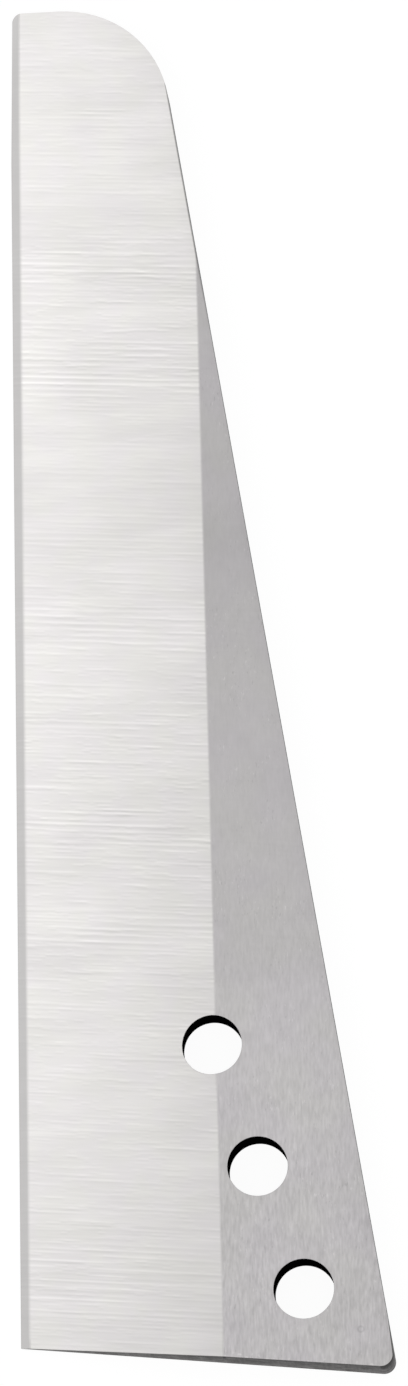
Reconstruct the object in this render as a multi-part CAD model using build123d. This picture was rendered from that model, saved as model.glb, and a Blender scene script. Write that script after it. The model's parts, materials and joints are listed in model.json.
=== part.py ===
from build123d import *
import os
from math import radians, tan

# Cable shear blade: one flat bar of tool steel, cut to its outline, bored for
# three bolts in a slanting row, and ground from one side to a cutting edge.
#
# Frame: the blade lies on its back face at z = 0, with its bevels up. +Y runs
# along the cutting edge from the bolted heel to the tip, +X runs across the
# blade from the cutting edge to the spine. The origin is the centre of the
# middle bolt hole, at the back face. All sizes are in millimetres and degrees.

# Bar
thickness = 8.0
length = 310.0  # from the sharp corner of heel and spine to that of tip and cutting edge

# Outline, set out from the middle bolt hole
hole_to_edge = 52.0  # straight across to the cutting edge
hole_to_spine = 22.0  # straight across to the spine
hole_to_heel = 42.0  # along the blade to the heel end
spine_lean = 9.0  # the spine leans towards the cutting edge by this angle
heel_slope = 5.5  # the heel end drops towards the spine by this angle
tip_slope = 2.5  # the tip end drops towards the spine by this angle
edge_relief = 0.5  # the cutting edge turns in by this much at the tip
edge_relief_length = 35.0  # over this length before the tip
tip_arc_radius = 26.0  # rounds the tip end into the spine
tip_corner_radius = 2.0  # the small corner of tip end and cutting edge
heel_corner_radius = 2.5  # the corner of heel end and spine

# Bolt holes: clear M12 bolts, and each step goes towards the tip and the edge
hole_diameter = 13.0
hole_pitch_along = 27.0
hole_pitch_across = 9.5
hole_count = 3

# Ground faces, measured from the cutting edge
edge_bevel_width = 1.9
edge_bevel_rise = 1.0
shoulder_at_heel = 44.2  # where the wide bevel runs out into the full thickness
shoulder_at_tip = 40.7

# Corners of the outline before they are rounded
spine_run = tan(radians(spine_lean))
heel_drop = tan(radians(heel_slope))
tip_drop = tan(radians(tip_slope))
edge_x = -hole_to_edge
heel_edge_corner = (edge_x, -hole_to_heel - edge_x * heel_drop)
heel_spine_y = -(hole_to_heel + hole_to_spine * heel_drop) / (1 - spine_run * heel_drop)
heel_spine_corner = (hole_to_spine - heel_spine_y * spine_run, heel_spine_y)
tip_y = heel_spine_y + length
tip_edge_corner = (edge_x + edge_relief, tip_y)
relief_start = (edge_x, tip_y - edge_relief_length)
tip_width = hole_to_spine - tip_edge_corner[0]
tip_spine_y = (tip_y - tip_drop * tip_width) / (1 - tip_drop * spine_run)
tip_spine_corner = (hole_to_spine - tip_spine_y * spine_run, tip_spine_y)


def corner_of(sketch, corner):
    """The vertex of the sketch at one corner of the outline."""
    return sketch.vertices().sort_by_distance((*corner, 0))[0]


def blade_outline():
    """The outline seen from the bevelled side: a polygon with three rounded corners."""
    outline = make_face(
        Polyline(
            heel_edge_corner,
            heel_spine_corner,
            tip_spine_corner,
            tip_edge_corner,
            relief_start,
            close=True,
        )
    )
    for corner, radius in (
        (heel_spine_corner, heel_corner_radius),
        (tip_spine_corner, tip_arc_radius),
        (tip_edge_corner, tip_corner_radius),
    ):
        outline = fillet(corner_of(outline, corner), radius)
    return outline


def ground_section(station_y, shoulder):
    """The ground cross-section at one place along the blade.

    It starts in a sharp edge at the back face, rises steeply over the narrow
    edge bevel and gently over the wide bevel, and is flat from the shoulder on.
    """
    section_plane = Plane(origin=(edge_x, station_y, 0), x_dir=(1, 0, 0), z_dir=(0, -1, 0))
    past_spine = heel_spine_corner[0] - edge_x + thickness
    return section_plane * make_face(
        Polyline(
            (0, 0),
            (edge_bevel_width, edge_bevel_rise),
            (shoulder, thickness),
            (past_spine, thickness),
            (past_spine, 0),
            close=True,
        )
    )


def bolt_holes():
    """Straight through holes, centred on the middle one at the origin."""
    middle = (hole_count - 1) / 2
    centres = [
        ((middle - i) * hole_pitch_across, (i - middle) * hole_pitch_along)
        for i in range(hole_count)
    ]
    return [
        Pos(x, y, thickness / 2) * Cylinder(hole_diameter / 2, 2 * thickness)
        for x, y in centres
    ]


def shear_blade():
    """The blank, the grinding and the bores, in the order a shop makes them."""
    blank = extrude(blade_outline(), thickness)
    ground_bar = loft(
        [
            ground_section(heel_spine_y, shoulder_at_heel),
            ground_section(tip_y, shoulder_at_tip),
        ],
        ruled=True,
    )
    blade = (blank & ground_bar) - bolt_holes()
    blade.label = "shear_blade"
    return blade


os.makedirs("parts", exist_ok=True)
export_step(shear_blade(), "parts/shear_blade.step")
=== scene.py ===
import json
from collections import namedtuple
from math import cos, hypot, pi, radians, sin, tan

import bmesh
import bpy
from mathutils import Matrix, Vector
from mathutils.geometry import delaunay_2d_cdt


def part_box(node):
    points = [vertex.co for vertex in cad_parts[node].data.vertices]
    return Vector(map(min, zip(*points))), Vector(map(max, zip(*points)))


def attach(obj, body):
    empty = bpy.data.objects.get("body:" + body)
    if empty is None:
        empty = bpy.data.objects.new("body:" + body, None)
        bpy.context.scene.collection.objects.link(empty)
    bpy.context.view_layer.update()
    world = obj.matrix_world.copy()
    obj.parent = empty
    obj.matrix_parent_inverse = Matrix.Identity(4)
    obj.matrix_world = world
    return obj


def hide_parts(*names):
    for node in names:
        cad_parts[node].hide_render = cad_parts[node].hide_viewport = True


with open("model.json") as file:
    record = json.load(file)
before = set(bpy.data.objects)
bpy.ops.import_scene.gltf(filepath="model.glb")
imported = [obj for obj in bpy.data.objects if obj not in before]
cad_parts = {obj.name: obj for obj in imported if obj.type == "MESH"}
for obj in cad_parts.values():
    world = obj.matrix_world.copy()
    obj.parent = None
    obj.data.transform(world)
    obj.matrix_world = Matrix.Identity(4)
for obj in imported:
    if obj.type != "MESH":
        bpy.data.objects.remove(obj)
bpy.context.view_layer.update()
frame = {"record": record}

# Units: Blender works in metres, and the shaders measure the blade in millimetres.
MM = 0.001

# The blade, from the frame
NODE = "shear_blade"
LOW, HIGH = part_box(NODE)
EDGE_X = LOW.x
THICKNESS = HIGH.z
BORES = [
    (mount["pos_m"][0], mount["pos_m"][1], mount["dims"]["r_mm"] * MM)
    for mount in frame["record"]["mounts"]
    if mount["kind"] == "bore"
]

# The rest of the outline and of the grinding, as the part has them
LENGTH = 310.0 * MM
HOLE_TO_SPINE = 22.0 * MM
HOLE_TO_HEEL = 42.0 * MM
SPINE_LEAN = radians(9.0)
HEEL_SLOPE = radians(5.5)
TIP_SLOPE = radians(2.5)
EDGE_RELIEF = 0.5 * MM
EDGE_RELIEF_LENGTH = 35.0 * MM
TIP_ARC_RADIUS = 26.0 * MM
TIP_CORNER_RADIUS = 2.0 * MM
HEEL_CORNER_RADIUS = 2.5 * MM
EDGE_BEVEL_WIDTH = 1.9 * MM
EDGE_BEVEL_RISE = 1.0 * MM
SHOULDER_AT_HEEL = 44.2 * MM
SHOULDER_AT_TIP = 40.7 * MM

# Corners of the outline before they are rounded
HEEL_DROP, TIP_DROP, SPINE_RUN = tan(HEEL_SLOPE), tan(TIP_SLOPE), tan(SPINE_LEAN)
HEEL_SPINE_Y = -(HOLE_TO_HEEL + HOLE_TO_SPINE * HEEL_DROP) / (1 - SPINE_RUN * HEEL_DROP)
HEEL_SPINE = Vector((HOLE_TO_SPINE - HEEL_SPINE_Y * SPINE_RUN, HEEL_SPINE_Y))
HEEL_EDGE = Vector((EDGE_X, -HOLE_TO_HEEL - EDGE_X * HEEL_DROP))
TIP_Y = HEEL_SPINE_Y + LENGTH
TIP_EDGE = Vector((EDGE_X + EDGE_RELIEF, TIP_Y))
RELIEF_START = Vector((EDGE_X, TIP_Y - EDGE_RELIEF_LENGTH))
TIP_SPINE_Y = (TIP_Y - TIP_DROP * (HOLE_TO_SPINE - TIP_EDGE.x)) / (1 - TIP_DROP * SPINE_RUN)
TIP_SPINE = Vector((HOLE_TO_SPINE - TIP_SPINE_Y * SPINE_RUN, TIP_SPINE_Y))

# What the mesh adds: how far the front's heel corner stands in from the back's,
# broken edges and softened ridges
HEEL_CORNER_SET_IN = Vector((-0.38, 0.32)) * MM
HEEL_CORNER_REACH = 3.5 * MM  # from the sharp corner to the last point that is set in
EDGE_BREAK = 0.05 * MM
FULLY_BROKEN_HEIGHT = 0.8 * MM  # where the blade is thinner, its edges are broken by less
RIDGE_SOFTNESS = 0.3 * MM

# How finely the mesh is divided
STATION_SPACING = 10.0 * MM
BORE_STEPS = 96
CORNER_STEP = radians(5.0)
LEAST_CORNER_STEPS = 2
MERGE_REACH = 0.015 * MM
WELD_REACH = 0.0001 * MM
LEAST_GAP = 0.005 * MM  # from the border to the middle of a triangle inside it

# How the faces are told apart and shaded
FRONT, BACK, WALL, BORE = range(4)
LEAST_FACING = 0.5  # the part along Z of a front or back face's normal
LEAST_BREAK_TILT = radians(35.0)  # of a broken edge
LONGEST_CURVED_FACE = 1.2 * THICKNESS  # in a bore or a rounded corner
SHARP_ANGLE = radians(50.0)

# Camera, set out from a point on the back face
CAMERA_AIM = Vector((-10.68, 107.42, 0.0)) * MM
CAMERA_DISTANCE = 1990.0 * MM
CAMERA_TILT = radians(15.12)  # from straight above
CAMERA_TURN = radians(-75.66)  # the side that it leans to, from +X
CAMERA_ROLL = radians(-0.78)
CAMERA_LENS = 236.4  # mm, as the sensor is
CAMERA_SENSOR = 36.0
CAMERA_CLIP_END = 20.0
PICTURE_UP = Vector((0.0, 1.0, 0.0))  # before the roll

# Light and floor
WHITE = (1.0, 1.0, 1.0)
SEEN_STRENGTH = 1.0
WORLD_FILL = 0.85
KEY_PLACE = Vector((-900.0, 350.0, 1300.0)) * MM
KEY_SIZE = 900.0 * MM
KEY_POWER = 0.5
FLOOR_SIZE = 6.0
FLOOR_GAP = 0.2 * MM
FLOOR_GLOW = 0.95
FLOOR_SHADE = (0.07, 0.07, 0.07)
FLOOR_COLOUR = (0.8, 0.8, 0.8)

# The values of the materials. Colours are linear. A noise has the size of its grains in
# millimetres along X, Y and Z, a seed, a strength, and how far and how rough its detail goes.
# A fade is where it starts and ends, and where it has four values, what it goes from and to.
# What lies along the blade is measured in millimetres from the origin towards the tip.
Noise = namedtuple("Noise", "size seed strength detail roughness", defaults=(1.0, 1.0, 0.5))
SEED_SHIFT = (7.31, 3.17, 5.53)  # in grains, for each step of a seed

# Patches of a colour that are a little warmer or cooler
WARM_TINT = (1.0, 1.005, 0.991)
COOL_TINT = (1.0, 0.995, 1.007)
TINT_FADE = (-0.1875, 0.1875)

# The bevels: how light they are along the blade, and the painted shade that dims them from the
# cutting edge to the shoulder, less so towards the tip. Their colours are lighter than the flat's
# partly by their cross grinding and partly as painted reflection.
BEVEL_BRIGHT = (0.824, 0.807, 0.797)
BEVEL_DIM = (0.687, 0.673, 0.664)
BEVEL_DIM_POWER = 1.2
BEVEL_DIM_ALONG = (170.0, 235.0, 1.0, 0.75)
BEVEL_SHADE = (
    (-45, 0.835),
    (-25, 0.855),
    (15, 0.90),
    (45, 0.915),
    (80, 0.905),
    (120, 0.955),
    (148, 0.915),
    (170, 0.97),
    (195, 0.985),
    (210, 0.975),
    (230, 0.985),
    (250, 0.99),
    (265, 0.96),
)
BEVEL_TINT = Noise((6, 7, 6), 8)
BEVEL_CLOUDS = Noise((20, 11, 20), 7, 0.155, detail=2.0)
BEVEL_STREAKS = Noise((30, 3.5, 30), 10, 0.12)

# Where one ground face goes over into the next: past the shoulder, and past the ridge between
# the two bevels
SHOULDER_FADE = (-0.35, 0.35)
RIDGE_FADE = (-0.35, 0.60)

# The lines across the bevels, and where they are weaker: towards the shoulder, near the heel
LINES_TURN = radians(-6.1)  # from +X
LINES_LIGHT = 0.47
QUIET_ACROSS = (-16.0, -3.0, 0.0, 0.5)  # past the shoulder
QUIET_ALONG = (-5.0, -25.0)

# The marks that the grinding wheel left at each step of its feed, and the bands along
# the blade where they are strong: middle and half length in millimetres, and strength
FEED_PITCH = 1.36  # mm
FEED_STRENGTH = 0.23
FEED_ELSEWHERE = 0.14
FEED_BANDS = (
    (-28, 16, 0.95),
    (50, 9, 0.68),
    (70, 9, 0.78),
    (93, 10, 0.48),
    (119, 10, 0.80),
    (138, 8, 0.40),
    (175, 10, 1.00),
    (199, 13, 0.62),
)
FEED_SECOND_WAVE = 0.25  # the share of a wave of half the pitch
FEED_CREST = 0.25  # the share by which a crest outdoes a trough
FEED_DRIFT = Noise((160, 9, 160), 1, 0.8)  # the marks' straying along the blade, in millimetres
FEED_RUNS = Noise((18, 1.5, 18), 2)
FEED_RUNS_FADE = (-0.16, 0.06)

# The scratches between them: length and width in millimetres, seed and strength, and how
# strong all of them are along the blade
SCRATCHES = (
    (34.0, 0.52, 3, 0.16),
    (13.0, 0.46, 4, 0.19),
    (4.5, 0.42, 5, 0.14),
)
SCRATCH_FADE = (0.06, 0.20)
SCRATCH_DARK = 0.75
SCRATCH_STEPS = 64  # to a scratch's width, on the axes that aren't cut into rows
SCRATCH_GRAINS = 1.7  # to a scratch's width, so that neighbours differ
SCRATCH_STRENGTH = (
    (-45, 0.50),
    (-28, 0.90),
    (-8, 0.64),
    (50, 0.82),
    (93, 1.00),
    (110, 0.66),
    (148, 0.34),
    (166, 0.42),
    (176, 0.86),
    (200, 0.86),
    (212, 0.46),
    (265, 0.46),
)
FINE_LINES = Noise((5.0, 0.35, 5.0), 6, 0.12)

# The edge bevel: darker towards the heel and at the very edge, lighter at the tip. Its colour, like
# the wide bevel's, is partly its grinding and partly painted reflection.
EDGE_BEVEL_COLOUR = (0.568, 0.559, 0.555)
EDGE_BEVEL_TO_HEEL = (110.0, -45.0, 1.0, 0.95)
EDGE_BEVEL_TO_TIP = (256.0, 265.0, 0.0, 0.08)
EDGE_BEVEL_LINES = 0.12
EDGE_BEVEL_CLOUDS = Noise((8, 6, 8), 17, 0.09, detail=2.0)
VERY_EDGE = (0.1, 0.4, 0.96, 1.0)

# The flat: how light it is along the blade, and how its grain grows towards the heel
FLAT_COLOUR = (0.517, 0.502, 0.507)
FLAT_SHADE = (
    (-45, 0.96),
    (-10, 0.985),
    (25, 1.00),
    (36, 0.98),
    (46, 0.925),
    (60, 0.925),
    (105, 0.915),
    (125, 0.88),
    (141, 0.84),
    (152, 0.885),
    (185, 0.905),
)
FLAT_TINT = Noise((12, 14, 12), 16)
CLOUDS = Noise((7, 9, 7), 11, detail=2.0)
MOTTLE = Noise((1.3, 2.2, 1.3), 12)
CLOUDS_ALONG = (60.0, -40.0, 0.08, 0.15)
DASHES = Noise((0.52, 2.8, 0.52), 13)
FIBRES = Noise((0.34, 1.5, 0.34), 14, 0.5)
DASHES_ALONG = (105.0, -40.0, 0.07, 0.38)
GLINTS = Noise((0.62, 4.5, 0.62), 15)
GLINTS_FADE = (0.08, 0.26)
GLINTS_ALONG = (60.0, -45.0, 0.0, 0.055)
LIGHT_FLECKS = Noise((0.30, 1.2, 0.30), 18)
DARK_FLECKS = Noise((0.30, 1.2, 0.30), 19)
FLECKS_FADE = (0.14, 0.26)
FLECK_GROUPS = Noise((5, 7, 5), 20)
FLECK_GROUPS_FADE = (-0.06, 0.14, 0.0, 0.16)
MOTTLE_HEIGHT = 0.5

# How much darker the front gets beside the spine: across the blade, in millimetres from the
# spine, and along it. The first two are painted shade, the last a narrow dark line near the tip.
SPINE_SHADES = (
    ((3.0, 0.0), (60.0, -40.0, 0.025, 0.05)),
    ((18.0, 2.0), (40.0, -20.0, 0.01, 0.025)),
    ((0.38, 0.10), (184.0, 212.0, 0.0, 0.54)),
)

# A small stain on the flat: its middle, the radius of its dark ring, and how light it is from
# the ring outwards, in millimetres
STAIN_PLACE = (21.6, -36.1)
STAIN_RADIUS = 0.6
STAIN_FADE = (0.05, 0.35, 0.86, 1.0)

# Burrs along the front of the heel end, painted as bright glints where they catch the light: how far
# they reach in, in millimetres, and their spots
BURR_GLINTS_ACROSS = (0.40, 1.70, 1.0, 0.0)
BURR_GLINT_SPOTS = Noise((0.8, 0.8, 0.8), 9)
BURR_GLINT_SPOTS_FADE = (0.08, 0.22)
BURR_GLINTS_STRENGTH = 0.28

# Ground steel
GROUND_METAL = 1.0
GROUND_ROUGHNESS = 0.36
LINES_ROUGHNESS = 0.20
BACK_ROUGHNESS = 0.38
GRAIN_DEPTH = 0.02  # mm

# The cut walls: how much of the dark colour they have from the back to the front, and how much
# of it each kind of mark adds
WALL_LIGHT = (0.135, 0.129, 0.127)
WALL_DARK = (0.040, 0.038, 0.0375)
WALL_SHARES = (0.30, 1.1)
WALL_PATCHES = Noise((3.2, 3.2, 1.2), 21, detail=3.0, roughness=0.6)
WALL_SPECKS = Noise((0.45, 0.45, 0.45), 22)
WALL_CUTS = Noise((0.6, 0.6, 14.0), 23, detail=2.0)
WALL_PATCHES_SHARE = 2.0
WALL_SPECKS_SHARE = 0.6
WALL_CUTS_SHARE = 0.9
WALL_METAL = 0.6
WALL_ROUGHNESS = 0.62
WALL_PATCHES_ROUGHNESS = 0.3
WALL_DEPTH = 0.06  # mm

# The bores: near-black painted shade, with patches
BORE_COLOUR = (0.0015, 0.0015, 0.0015)
BORE_PATCHES = Noise((1.5, 1.5, 1.0), 31, detail=2.0)
BORE_PATCHES_LIGHT = 1.5
BORE_METAL = 0.0
BORE_ROUGHNESS = 0.85
BORE_SPECULAR = 0.0
BORE_DEPTH = 0.04  # mm

# What a Mix node mixes, and its sockets for that: both inputs and the output
MIX_NUMBERS = ("FLOAT", 2, 3, 0)
MIX_COLOURS = ("RGBA", 6, 7, 2)


def opaque(colour):
    """A constant colour with its alpha, and a socket as it is."""
    return (*colour, 1.0) if isinstance(colour, tuple) else colour


class Nodes:
    """A node tree, built a node at a time."""

    def __init__(self, tree):
        self.tree = tree

    def node(self, kind, *values, **settings):
        """Adds a node. Its inputs are filled in turn, each with a socket to link or a constant."""
        made = self.tree.nodes.new(kind)
        for setting, value in settings.items():
            setattr(made, setting, value)
        for socket, value in zip(made.inputs, values):
            self.fill(socket, value)
        return made

    def fill(self, socket, value):
        """Links another node's socket to an input, or sets a constant in it."""
        if isinstance(value, bpy.types.NodeSocket):
            self.tree.links.new(value, socket)
        else:
            socket.default_value = value

    def math(self, operation, *values):
        return self.node("ShaderNodeMath", *values, operation=operation).outputs[0]

    def mix(self, share, value, other, kind=MIX_NUMBERS):
        """From one value to the other."""
        data_type, first, second, result = kind
        made = self.node("ShaderNodeMix", share, data_type=data_type)
        self.fill(made.inputs[first], value)
        self.fill(made.inputs[second], other)
        return made.outputs[result]

    def mix_colours(self, share, colour, other):
        """From one colour to the other."""
        return self.mix(share, opaque(colour), opaque(other), MIX_COLOURS)

    def seen_share(self):
        """1 for rays that show the surroundings: camera, glossy and transmission rays."""
        rays = self.node("ShaderNodeLightPath").outputs
        share = self.math("MAXIMUM", rays["Is Camera Ray"], rays["Is Glossy Ray"])
        return self.math("MAXIMUM", share, rays["Is Transmission Ray"])


class Shader(Nodes):
    """The nodes of one of the blade's materials."""

    def __init__(self, name):
        self.material = bpy.data.materials.new(name)
        self.material.use_nodes = True
        super().__init__(self.material.node_tree)
        self.surface = self.tree.nodes["Principled BSDF"]

    def set(self, **values):
        """Fills the surface's inputs, with their names in lower case and underscores."""
        by_name = {socket.name.lower().replace(" ", "_"): socket for socket in self.surface.inputs}
        for name, value in values.items():
            self.fill(by_name[name], value)

    def place(self, turn=0.0):
        """Where a point lies on the blade, in millimetres, with X and Y turned by an angle."""
        coordinates = self.node("ShaderNodeTexCoord").outputs["Object"]
        scale = (1 / MM, 1 / MM, 1 / MM)
        made = self.node("ShaderNodeMapping", coordinates, (0, 0, 0), (0, 0, -turn), scale)
        return made.outputs[0]

    def axes(self, vector):
        return self.node("ShaderNodeSeparateXYZ", vector).outputs

    def times(self, value, other):
        return self.math("MULTIPLY", value, other)

    def plus(self, value, *others):
        for other in others:
            value = self.math("ADD", value, other)
        return value

    def ramp(self, value, start, end, low=0.0, high=1.0, smooth=True):
        """Goes from low to high as value goes from start to end."""
        kind = "SMOOTHSTEP" if smooth else "LINEAR"
        made = self.node("ShaderNodeMapRange", value, start, end, low, high, interpolation_type=kind)
        return made.outputs[0]

    def curve(self, value, stops):
        """A smooth curve through (position, height) stops, with heights from 0 to 1."""
        start, end = stops[0][0], stops[-1][0]
        share = self.ramp(value, start, end, smooth=False)
        made = self.node("ShaderNodeValToRGB", share)
        elements = made.color_ramp.elements
        made.color_ramp.interpolation = "EASE"
        while len(elements) < len(stops):
            elements.new(0.5)
        for element, (position, height) in zip(elements, stops):
            element.position = (position - start) / (end - start)
            element.color = (height, height, height, 1.0)
        return made.outputs[0]

    def scaled(self, colour, factor):
        """A colour made lighter or darker by a factor."""
        made = self.node("ShaderNodeVectorMath", colour, operation="SCALE")
        self.fill(made.inputs["Scale"], factor)
        return made.outputs[0]

    def noise(self, place, noise):
        """A noise about zero, at a place in millimetres."""
        scale = tuple(1 / side for side in noise.size)
        shift = tuple(noise.seed * step for step in SEED_SHIFT)
        scaled = self.node("ShaderNodeVectorMath", place, scale, shift, operation="MULTIPLY_ADD")
        made = self.node("ShaderNodeTexNoise", noise_dimensions="3D")
        self.fill(made.inputs["Vector"], scaled.outputs[0])
        made.inputs["Scale"].default_value = 1.0
        made.inputs["Detail"].default_value = noise.detail
        made.inputs["Roughness"].default_value = noise.roughness
        return self.times(self.math("SUBTRACT", made.outputs["Fac"], 0.5), noise.strength)

    def tinted(self, colour, place, noise):
        """A colour that turns a little warmer and cooler from patch to patch."""
        share = self.ramp(self.noise(place, noise), *TINT_FADE)
        tint = self.mix_colours(share, WARM_TINT, COOL_TINT)
        return self.node("ShaderNodeVectorMath", colour, tint, operation="MULTIPLY").outputs[0]

    def scratches(self, place, length, width, seed):
        """Straight scratches along X in rows of one width, up to 1, each with a dark one beside it."""
        row_size = (width / SCRATCH_STEPS, width, width / SCRATCH_STEPS)
        row_noise = Noise((length, width / SCRATCH_GRAINS, length), seed)
        pair = []
        for row in (0, 1):
            moved = self.node("ShaderNodeVectorMath", place, (0.0, row * width, 0.0), operation="ADD")
            rows = self.node("ShaderNodeVectorMath", moved.outputs[0], row_size, operation="SNAP")
            pair.append(self.ramp(self.noise(rows.outputs[0], row_noise), *SCRATCH_FADE))
        light, dark = pair
        return self.math("MULTIPLY_ADD", dark, -SCRATCH_DARK, light)

    def bump(self, height, depth):
        """Height, about one, times a depth in millimetres."""
        made = self.node("ShaderNodeBump")
        made.inputs["Distance"].default_value = depth * MM
        self.fill(made.inputs["Height"], height)
        return made.outputs[0]


def feed_marks(shader, place, along):
    """Waves across the bevels, strong in their bands and broken up everywhere."""
    turn = shader.times(along, 2 * pi / FEED_PITCH)
    half_pitch = shader.times(shader.math("SINE", shader.times(turn, 2.0)), FEED_SECOND_WAVE)
    wave = shader.plus(shader.math("SINE", turn), half_pitch)
    wave = shader.times(wave, shader.math("MULTIPLY_ADD", wave, FEED_CREST, 1.0))
    bands = []
    for middle, half, strength in FEED_BANDS:
        bands += [(middle - half, FEED_ELSEWHERE), (middle, strength), (middle + half, FEED_ELSEWHERE)]
    bands.append((HIGH.y / MM, FEED_ELSEWHERE))
    runs = shader.ramp(shader.noise(place, FEED_RUNS), *FEED_RUNS_FADE)
    return shader.times(shader.times(wave, runs), shader.curve(along, bands))


def cross_lines(shader):
    """The bevels' cross-ground lines, about zero: feed marks, scratches and a fine grain."""
    place = shader.place(LINES_TURN)
    along = shader.plus(shader.axes(place)[1], shader.noise(place, FEED_DRIFT))
    feed = feed_marks(shader, place, along)
    scratches = [
        shader.times(shader.scratches(place, length, width, seed), strength)
        for length, width, seed, strength in SCRATCHES
    ]
    scratches = shader.times(shader.plus(*scratches), shader.curve(along, SCRATCH_STRENGTH))
    fine = shader.noise(place, FINE_LINES)
    return shader.plus(shader.times(feed, FEED_STRENGTH), scratches, fine)


def wide_bevel(shader, place, y, lines, across):
    """The wide bevel's colour. Across is 0 at the cutting edge and 1 at the shoulder."""
    # Painted shade: the bevel dims from the cutting edge towards the shoulder
    dimmer = shader.math("POWER", across, BEVEL_DIM_POWER)
    dimmer = shader.times(dimmer, shader.ramp(y, *BEVEL_DIM_ALONG))
    colour = shader.mix_colours(dimmer, BEVEL_BRIGHT, BEVEL_DIM)
    colour = shader.tinted(colour, place, BEVEL_TINT)
    colour = shader.scaled(colour, shader.curve(y, BEVEL_SHADE))
    clouds = shader.plus(shader.noise(place, BEVEL_CLOUDS), shader.noise(place, BEVEL_STREAKS))
    return shader.scaled(colour, shader.plus(shader.times(lines, LINES_LIGHT), clouds, 1.0))


def edge_bevel(shader, place, y, lines, from_edge):
    """The narrow edge bevel's colour."""
    clouds = shader.noise(place, EDGE_BEVEL_CLOUDS)
    to_tip = shader.ramp(y, *EDGE_BEVEL_TO_TIP, smooth=False)
    light = shader.plus(shader.times(lines, EDGE_BEVEL_LINES), clouds, to_tip, 1.0)
    to_heel = shader.ramp(y, *EDGE_BEVEL_TO_HEEL, smooth=False)
    shade = shader.times(to_heel, shader.ramp(from_edge, *VERY_EDGE))
    return shader.scaled(EDGE_BEVEL_COLOUR, shader.times(shade, light))


def beside_spine(shader, x, y):
    """How light the front is beside the spine, up to 1: painted shade, and a narrow dark line near the
    tip.
    """
    spine = shader.math("MULTIPLY_ADD", y, -SPINE_RUN, HOLE_TO_SPINE / MM)
    from_spine = shader.math("SUBTRACT", spine, x)
    shades = [
        shader.times(shader.ramp(from_spine, *across), shader.ramp(y, *along))
        for across, along in SPINE_SHADES
    ]
    return shader.math("SUBTRACT", 1.0, shader.plus(*shades))


def beside_stain(shader, x, y):
    """How light the flat is about the small stained ring beside the last bolt hole, up to 1."""
    across = shader.math("SUBTRACT", x, STAIN_PLACE[0])
    along = shader.math("SUBTRACT", y, STAIN_PLACE[1])
    away = shader.math("SQRT", shader.plus(shader.times(across, across), shader.times(along, along)))
    from_ring = shader.math("ABSOLUTE", shader.math("SUBTRACT", away, STAIN_RADIUS))
    return shader.ramp(from_ring, *STAIN_FADE)


def burr_and_glints(shader, place, x, y):
    """Bright spots along the front of the heel end: burrs, with painted glints on them."""
    from_heel = shader.plus(y, shader.times(x, HEEL_DROP), HOLE_TO_HEEL / MM)
    near = shader.ramp(from_heel, *BURR_GLINTS_ACROSS)
    spots = shader.ramp(shader.noise(place, BURR_GLINT_SPOTS), *BURR_GLINT_SPOTS_FADE)
    return shader.times(shader.times(near, spots), BURR_GLINTS_STRENGTH)


def flecks(shader, place):
    """Sparse light and dark flecks, which gather in groups."""
    light = shader.ramp(shader.noise(place, LIGHT_FLECKS), *FLECKS_FADE)
    dark = shader.ramp(shader.noise(place, DARK_FLECKS), *FLECKS_FADE)
    groups = shader.ramp(shader.noise(place, FLECK_GROUPS), *FLECK_GROUPS_FADE)
    return shader.times(shader.math("SUBTRACT", light, dark), groups)


def flat_grain(shader):
    """The flat's colour and height: cloudy, with dashes and glints that grow towards the heel."""
    place = shader.place()
    along = shader.axes(place)[1]
    clouds = shader.noise(place, CLOUDS)
    mottle = shader.noise(place, MOTTLE)
    dashes = shader.noise(place, DASHES)
    fibres = shader.noise(place, FIBRES)
    glints = shader.ramp(shader.noise(place, GLINTS), *GLINTS_FADE)
    clouds_strength = shader.ramp(along, *CLOUDS_ALONG)
    grain = shader.plus(
        shader.times(clouds, clouds_strength),
        shader.times(mottle, clouds_strength),
        shader.times(shader.plus(dashes, fibres), shader.ramp(along, *DASHES_ALONG)),
        shader.times(glints, shader.ramp(along, *GLINTS_ALONG)),
        flecks(shader, place),
    )
    colour = shader.tinted(FLAT_COLOUR, place, FLAT_TINT)
    colour = shader.scaled(colour, shader.curve(along, FLAT_SHADE))
    colour = shader.scaled(colour, shader.plus(grain, 1.0))
    return colour, shader.plus(dashes, shader.times(mottle, MOTTLE_HEIGHT))


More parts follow.
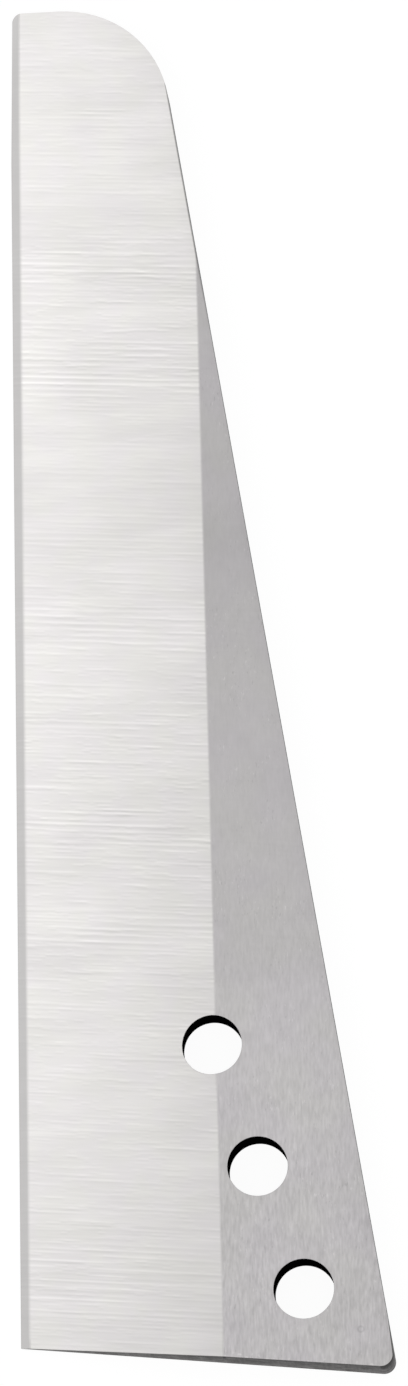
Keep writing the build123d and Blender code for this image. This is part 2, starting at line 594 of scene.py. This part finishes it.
def ground_front():
    """The ground front: the cross-ground bevels and the flat, which meet in soft lines."""
    shader = Shader("ground_front")
    place = shader.place()
    x, y, _ = shader.axes(place)
    from_edge = shader.math("SUBTRACT", x, EDGE_X / MM)
    shoulder_lean = (SHOULDER_AT_TIP - SHOULDER_AT_HEEL) / LENGTH
    shoulder_at_origin = (shoulder_x(0.0) - EDGE_X) / MM
    shoulder = shader.math("MULTIPLY_ADD", y, shoulder_lean, shoulder_at_origin)
    past_shoulder = shader.math("SUBTRACT", from_edge, shoulder)

    lines = cross_lines(shader)
    quiet = shader.times(shader.ramp(past_shoulder, *QUIET_ACROSS), shader.ramp(y, *QUIET_ALONG))
    lines = shader.times(lines, shader.math("SUBTRACT", 1.0, quiet))
    wide = wide_bevel(shader, place, y, lines, shader.math("DIVIDE", from_edge, shoulder))
    narrow = edge_bevel(shader, place, y, lines, from_edge)
    ridge_start, ridge_end = (EDGE_BEVEL_WIDTH / MM + past for past in RIDGE_FADE)
    on_edge_bevel = shader.ramp(from_edge, ridge_start, ridge_end, 1.0, 0.0)
    bevels = shader.mix_colours(on_edge_bevel, wide, narrow)

    flat, flat_height = flat_grain(shader)
    flat = shader.mix_colours(burr_and_glints(shader, place, x, y), flat, BEVEL_BRIGHT)
    flat = shader.scaled(flat, beside_stain(shader, x, y))
    on_flat = shader.ramp(past_shoulder, *SHOULDER_FADE)
    colour = shader.mix_colours(on_flat, bevels, flat)
    shader.set(
        base_color=shader.scaled(colour, beside_spine(shader, x, y)),
        metallic=GROUND_METAL,
        roughness=shader.math("MULTIPLY_ADD", lines, LINES_ROUGHNESS, GROUND_ROUGHNESS),
        normal=shader.bump(shader.mix(on_flat, lines, flat_height), GRAIN_DEPTH),
    )
    return shader.material


def ground_back():
    """The flat back face, ground lengthwise."""
    shader = Shader("ground_back")
    colour, height = flat_grain(shader)
    shader.set(
        base_color=colour,
        metallic=GROUND_METAL,
        roughness=BACK_ROUGHNESS,
        normal=shader.bump(height, GRAIN_DEPTH),
    )
    return shader.material


def dark_wall():
    """The spine, the heel end and the tip: cut faces under a dark scale, darkest along the front."""
    shader = Shader("dark_wall")
    place = shader.place()
    depth = shader.axes(place)[2]
    patches = shader.noise(place, WALL_PATCHES)
    specks = shader.noise(place, WALL_SPECKS)
    cuts = shader.noise(place, WALL_CUTS)
    share = shader.plus(
        shader.ramp(depth, 0.0, THICKNESS / MM, *WALL_SHARES, smooth=False),
        shader.times(patches, WALL_PATCHES_SHARE),
        shader.times(specks, WALL_SPECKS_SHARE),
        shader.times(cuts, WALL_CUTS_SHARE),
    )
    shader.set(
        base_color=shader.mix_colours(share, WALL_LIGHT, WALL_DARK),
        metallic=WALL_METAL,
        roughness=shader.math("MULTIPLY_ADD", patches, WALL_PATCHES_ROUGHNESS, WALL_ROUGHNESS),
        normal=shader.bump(shader.plus(patches, specks, cuts), WALL_DEPTH),
    )
    return shader.material


def black_bore():
    """The bores: near-black painted shade, with patches."""
    shader = Shader("black_bore")
    patches = shader.noise(shader.place(), BORE_PATCHES)
    light = shader.math("MULTIPLY_ADD", patches, BORE_PATCHES_LIGHT, 1.0)
    shader.set(
        base_color=shader.scaled(BORE_COLOUR, light),
        metallic=BORE_METAL,
        roughness=BORE_ROUGHNESS,
        specular_ior_level=BORE_SPECULAR,
        normal=shader.bump(patches, BORE_DEPTH),
    )
    return shader.material


def rounded(before, corner, after, radius):
    """The points of a rounded corner."""
    inward, outward = (before - corner).normalized(), (after - corner).normalized()
    half = inward.angle(outward) / 2
    centre = corner + (inward + outward).normalized() * radius / sin(half)
    start = corner + inward * radius / tan(half) - centre
    turn = start.angle_signed(corner + outward * radius / tan(half) - centre)
    steps = max(LEAST_CORNER_STEPS, round(abs(turn) / CORNER_STEP))
    points = []
    for step in range(steps + 1):
        spoke = start.copy()
        spoke.rotate(Matrix.Rotation(-turn * step / steps, 2))
        points.append(centre + spoke)
    return points


def outline():
    """The blade's outline, anticlockwise from the sharp corner of heel and cutting edge."""
    return [
        HEEL_EDGE,
        *rounded(HEEL_EDGE, HEEL_SPINE, TIP_SPINE, HEEL_CORNER_RADIUS),
        *rounded(HEEL_SPINE, TIP_SPINE, TIP_EDGE, TIP_ARC_RADIUS),
        *rounded(TIP_SPINE, TIP_EDGE, RELIEF_START, TIP_CORNER_RADIUS),
        RELIEF_START,
    ]


def circle(x, y, radius):
    """The points of a bore's rim, or of a ring around it."""
    turns = [2 * pi * step / BORE_STEPS for step in range(BORE_STEPS)]
    return [Vector((x + radius * cos(turn), y + radius * sin(turn))) for turn in turns]


def shoulder_x(y):
    """Where the wide bevel runs out into the flat."""
    share = (y - HEEL_SPINE.y) / (TIP_Y - HEEL_SPINE.y)
    return EDGE_X + SHOULDER_AT_HEEL + share * (SHOULDER_AT_TIP - SHOULDER_AT_HEEL)


def front_height(x, y):
    """How thick the blade is at a place."""
    from_edge = x - EDGE_X
    edge_bevel_height = from_edge * EDGE_BEVEL_RISE / EDGE_BEVEL_WIDTH
    wide_slope = (THICKNESS - EDGE_BEVEL_RISE) / (shoulder_x(y) - EDGE_X - EDGE_BEVEL_WIDTH)
    wide_bevel_height = EDGE_BEVEL_RISE + (from_edge - EDGE_BEVEL_WIDTH) * wide_slope
    return max(0.0, min(edge_bevel_height, wide_bevel_height, THICKNESS))


def ground_lines():
    """Lines across and along the front where its faces meet or where the mesh is divided."""
    lines = []
    for shift in (-RIDGE_SOFTNESS, 0.0, RIDGE_SOFTNESS):
        ridge = EDGE_X + EDGE_BEVEL_WIDTH + shift
        lines.append([Vector((ridge, y)) for y in (LOW.y, HIGH.y)])
        lines.append([Vector((shoulder_x(y) + shift, y)) for y in (LOW.y, HIGH.y)])
    stations = int((HIGH.y - LOW.y) / STATION_SPACING)
    for step in range(1, stations):
        y = LOW.y + step * STATION_SPACING
        lines.append([Vector((x, y)) for x in (LOW.x, HIGH.x)])
    return lines


def inset(loop, distance):
    """A convex loop that runs anticlockwise, moved inwards."""
    moved = []
    for before, here, after in zip(loop[-1:] + loop[:-1], loop, loop[1:] + loop[:1]):
        come, go = (here - before).normalized(), (after - here).normalized()
        inward = Vector((-come.y - go.y, come.x + go.x)) / (1 + come.dot(go))
        moved.append(here + inward * distance)
    return moved


def face_plan():
    """The outline, bores, broken edges and ground lines as one plan: points and lines."""
    loops = [outline(), inset(outline(), EDGE_BREAK)]
    for x, y, radius in BORES:
        loops += [circle(x, y, radius), circle(x, y, radius + EDGE_BREAK)]
    points, edges = [], []
    for loop in loops:
        first = len(points)
        points += loop
        edges += [(first + i, first + (i + 1) % len(loop)) for i in range(len(loop))]
    for line in ground_lines():
        first = len(points)
        points += line
        edges.append((first, first + 1))
    return points, edges


def border_gap(point, border):
    """How far a point of the plan is inside the blade, from the outline or the nearest bore."""
    gaps = [hypot(point.x - x, point.y - y) - radius for x, y, radius in BORES]
    for here, there in zip(border, border[1:] + border[:1]):
        side, reach = (there - here).normalized(), point - here
        gaps.append(side.x * reach.y - side.y * reach.x)
    return min(gaps)


def edge_break(point, border):
    """How much is off the height at a point: the edges' break, but none at the cutting edge."""
    if border_gap(point, border) > EDGE_BREAK / 2:
        return 0.0
    return EDGE_BREAK * min(1.0, front_height(point.x, point.y) / FULLY_BROKEN_HEIGHT)


def blade_mesh():
    """The blade as one closed mesh: the plan's triangles on both faces, and walls between them."""
    points, edges = face_plan()
    plan, _, triangles, _, _, _ = delaunay_2d_cdt(points, edges, [], 0, MERGE_REACH)
    border = outline()
    kept = [
        corners
        for corners in triangles
        if border_gap(sum((plan[i] for i in corners), Vector((0.0, 0.0))) / 3, border) > LEAST_GAP
    ]
    breaks = [edge_break(point, border) for point in plan]
    bm = bmesh.new()
    back = [bm.verts.new((p.x, p.y, off)) for p, off in zip(plan, breaks)]
    # Only the front's heel corner stands in, so the back is made before it moves
    for point in plan:
        if (point - HEEL_SPINE).length < HEEL_CORNER_REACH:
            point += HEEL_CORNER_SET_IN
    front = [bm.verts.new((p.x, p.y, front_height(p.x, p.y) - off)) for p, off in zip(plan, breaks)]
    sides = set()
    for corners in kept:
        bm.faces.new([front[i] for i in corners])
        bm.faces.new([back[i] for i in reversed(corners)])
        sides.update(zip(corners, corners[1:] + corners[:1]))
    for i, j in sorted(sides):
        if (j, i) not in sides:
            bm.faces.new([front[j], front[i], back[i], back[j]])
    loose = [vert for vert in bm.verts if not vert.link_faces]
    bmesh.ops.delete(bm, geom=loose, context="VERTS")
    bmesh.ops.remove_doubles(bm, verts=bm.verts, dist=WELD_REACH)
    bmesh.ops.recalc_face_normals(bm, faces=bm.faces)
    return bm


def surface_of(face):
    """Which of the four surfaces a face belongs to."""
    if face.normal.z > LEAST_FACING:
        return FRONT
    if face.normal.z < -LEAST_FACING:
        return BACK
    middle = face.calc_center_median()
    in_bore = any(hypot(middle.x - x, middle.y - y) < radius + EDGE_BREAK for x, y, radius in BORES)
    return BORE if in_bore else WALL


def is_rounded(face):
    """True if a face is part of a softened ridge, a broken edge, a bore or a rounded corner."""
    if face.material_index in (WALL, BORE):
        return max(edge.calc_length() for edge in face.edges) < LONGEST_CURVED_FACE
    if abs(face.normal.z) < cos(LEAST_BREAK_TILT):
        return True
    if face.material_index == BACK:
        return False
    middle = face.calc_center_median()
    from_ridge = abs(middle.x - EDGE_X - EDGE_BEVEL_WIDTH)
    from_shoulder = abs(middle.x - shoulder_x(middle.y))
    return min(from_ridge, from_shoulder) < RIDGE_SOFTNESS


def build_blade():
    """The dressed blade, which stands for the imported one."""
    bm = blade_mesh()
    bm.normal_update()
    for face in bm.faces:
        face.material_index = surface_of(face)
        face.smooth = is_rounded(face)
    for edge in bm.edges:
        edge.smooth = edge.calc_face_angle(0.0) < SHARP_ANGLE
    mesh = bpy.data.meshes.new("ground_blade")
    bm.to_mesh(mesh)
    bm.free()
    # In the order of FRONT, BACK, WALL and BORE
    for material in (ground_front(), ground_back(), dark_wall(), black_bore()):
        mesh.materials.append(material)
    blade = bpy.data.objects.new("ground_blade", mesh)
    bpy.context.scene.collection.objects.link(blade)
    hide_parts(NODE)
    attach(blade, "root")


def build_camera():
    """The camera at the photograph's angle."""
    data = bpy.data.cameras.new("camera")
    data.lens = CAMERA_LENS
    data.sensor_width = CAMERA_SENSOR
    data.clip_end = CAMERA_CLIP_END
    camera = bpy.data.objects.new("camera", data)
    bpy.context.scene.collection.objects.link(camera)
    away = Vector(
        (
            sin(CAMERA_TILT) * cos(CAMERA_TURN),
            sin(CAMERA_TILT) * sin(CAMERA_TURN),
            cos(CAMERA_TILT),
        )
    )
    right = PICTURE_UP.cross(away).normalized()
    up = away.cross(right)
    rolled_right = right * cos(CAMERA_ROLL) + up * sin(CAMERA_ROLL)
    rolled_up = up * cos(CAMERA_ROLL) - right * sin(CAMERA_ROLL)
    turn = Matrix((rolled_right, rolled_up, away)).transposed()
    camera.matrix_world = Matrix.Translation(CAMERA_AIM + away * CAMERA_DISTANCE) @ turn.to_4x4()
    bpy.context.scene.camera = camera


def build_world():
    """White where it is seen or mirrored, and an even fill light for the rest."""
    world = bpy.data.worlds.new("studio")
    world.use_nodes = True
    world.node_tree.nodes.clear()
    bpy.context.scene.world = world
    nodes = Nodes(world.node_tree)
    strength = nodes.mix(nodes.seen_share(), WORLD_FILL, SEEN_STRENGTH)
    background = nodes.node("ShaderNodeBackground", opaque(WHITE), strength)
    nodes.node("ShaderNodeOutputWorld", background.outputs[0])


def floor_material():
    """White where it is seen, but darker in the blade's shadow, and plain pale to other light."""
    material = bpy.data.materials.new("pale_floor")
    material.use_nodes = True
    material.node_tree.nodes.clear()
    nodes = Nodes(material.node_tree)
    plain = nodes.node("ShaderNodeBsdfDiffuse", opaque(FLOOR_COLOUR))
    shade = nodes.node("ShaderNodeBsdfDiffuse", opaque(FLOOR_SHADE))
    glow = nodes.node("ShaderNodeEmission", opaque(WHITE), FLOOR_GLOW)
    seen = nodes.node("ShaderNodeAddShader", shade.outputs[0], glow.outputs[0])
    either = nodes.node("ShaderNodeMixShader", nodes.seen_share(), plain.outputs[0], seen.outputs[0])
    nodes.node("ShaderNodeOutputMaterial", either.outputs[0])
    return material


def build_floor():
    """A plain pale floor just under the back face."""
    mesh = bpy.data.meshes.new("floor")
    half = FLOOR_SIZE / 2
    corners = [(-half, -half), (half, -half), (half, half), (-half, half)]
    mesh.from_pydata([(x, y, LOW.z - FLOOR_GAP) for x, y in corners], [], [(0, 1, 2, 3)])
    mesh.materials.append(floor_material())
    floor = bpy.data.objects.new("floor", mesh)
    bpy.context.scene.collection.objects.link(floor)


def build_key_light():
    """One large soft lamp on the side of the cutting edge."""
    data = bpy.data.lights.new("key", "AREA")
    data.shape = "DISK"
    data.size = KEY_SIZE
    data.energy = KEY_POWER
    key = bpy.data.objects.new("key", data)
    bpy.context.scene.collection.objects.link(key)
    key.location = KEY_PLACE
    key.rotation_mode = "QUATERNION"
    key.rotation_quaternion = (KEY_PLACE - CAMERA_AIM).to_track_quat("Z", "Y")


build_camera()
build_world()
build_floor()
build_key_light()
build_blade()
bpy.context.scene.view_settings.view_transform = "Standard"
